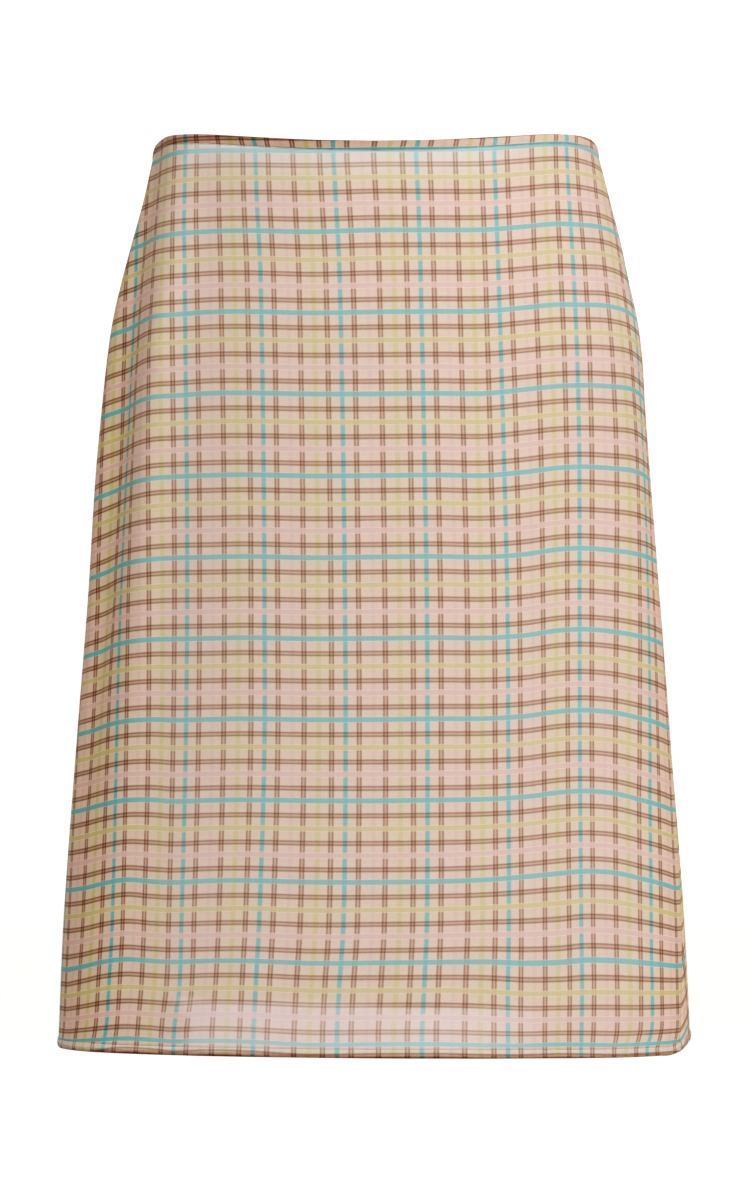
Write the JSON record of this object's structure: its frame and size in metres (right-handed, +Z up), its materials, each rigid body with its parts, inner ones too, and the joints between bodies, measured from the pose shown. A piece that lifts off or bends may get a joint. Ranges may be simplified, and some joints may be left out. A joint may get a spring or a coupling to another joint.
{
  "type": "midi skirt",
  "caption": "A-line midi skirt of light checked cloth in its worn form, open at waist and hem, with narrow turned edges and side seams.",
  "frame": {"origin": "centre of the waist opening, level with the top edge at the centre front, where the wearer's body holds the skirt", "axes": "+Z up the body, front towards -Y, +X to the right as seen from the front"},
  "size_m": [0.4635, 0.2223, 0.6703],
  "materials": {
    "check_cloth": "light, slightly sheer woven cloth with a printed-look check in brown, turquoise, yellow-green and pink on a pale pink and cream ground, soft low sheen",
    "waist_edge_cloth": "the same cloth doubled and topstitched, so its colours read darker",
    "hem_cloth": "the same cloth doubled and stitched along a brown stripe of the check"
  },
  "bodies": {
    "root": {"front_panel": "check_cloth", "back_panel": "check_cloth", "waist_edge_front": "waist_edge_cloth", "waist_edge_back": "waist_edge_cloth", "hem_front": "hem_cloth", "hem_back": "hem_cloth"}
  },
  "joints": []
}
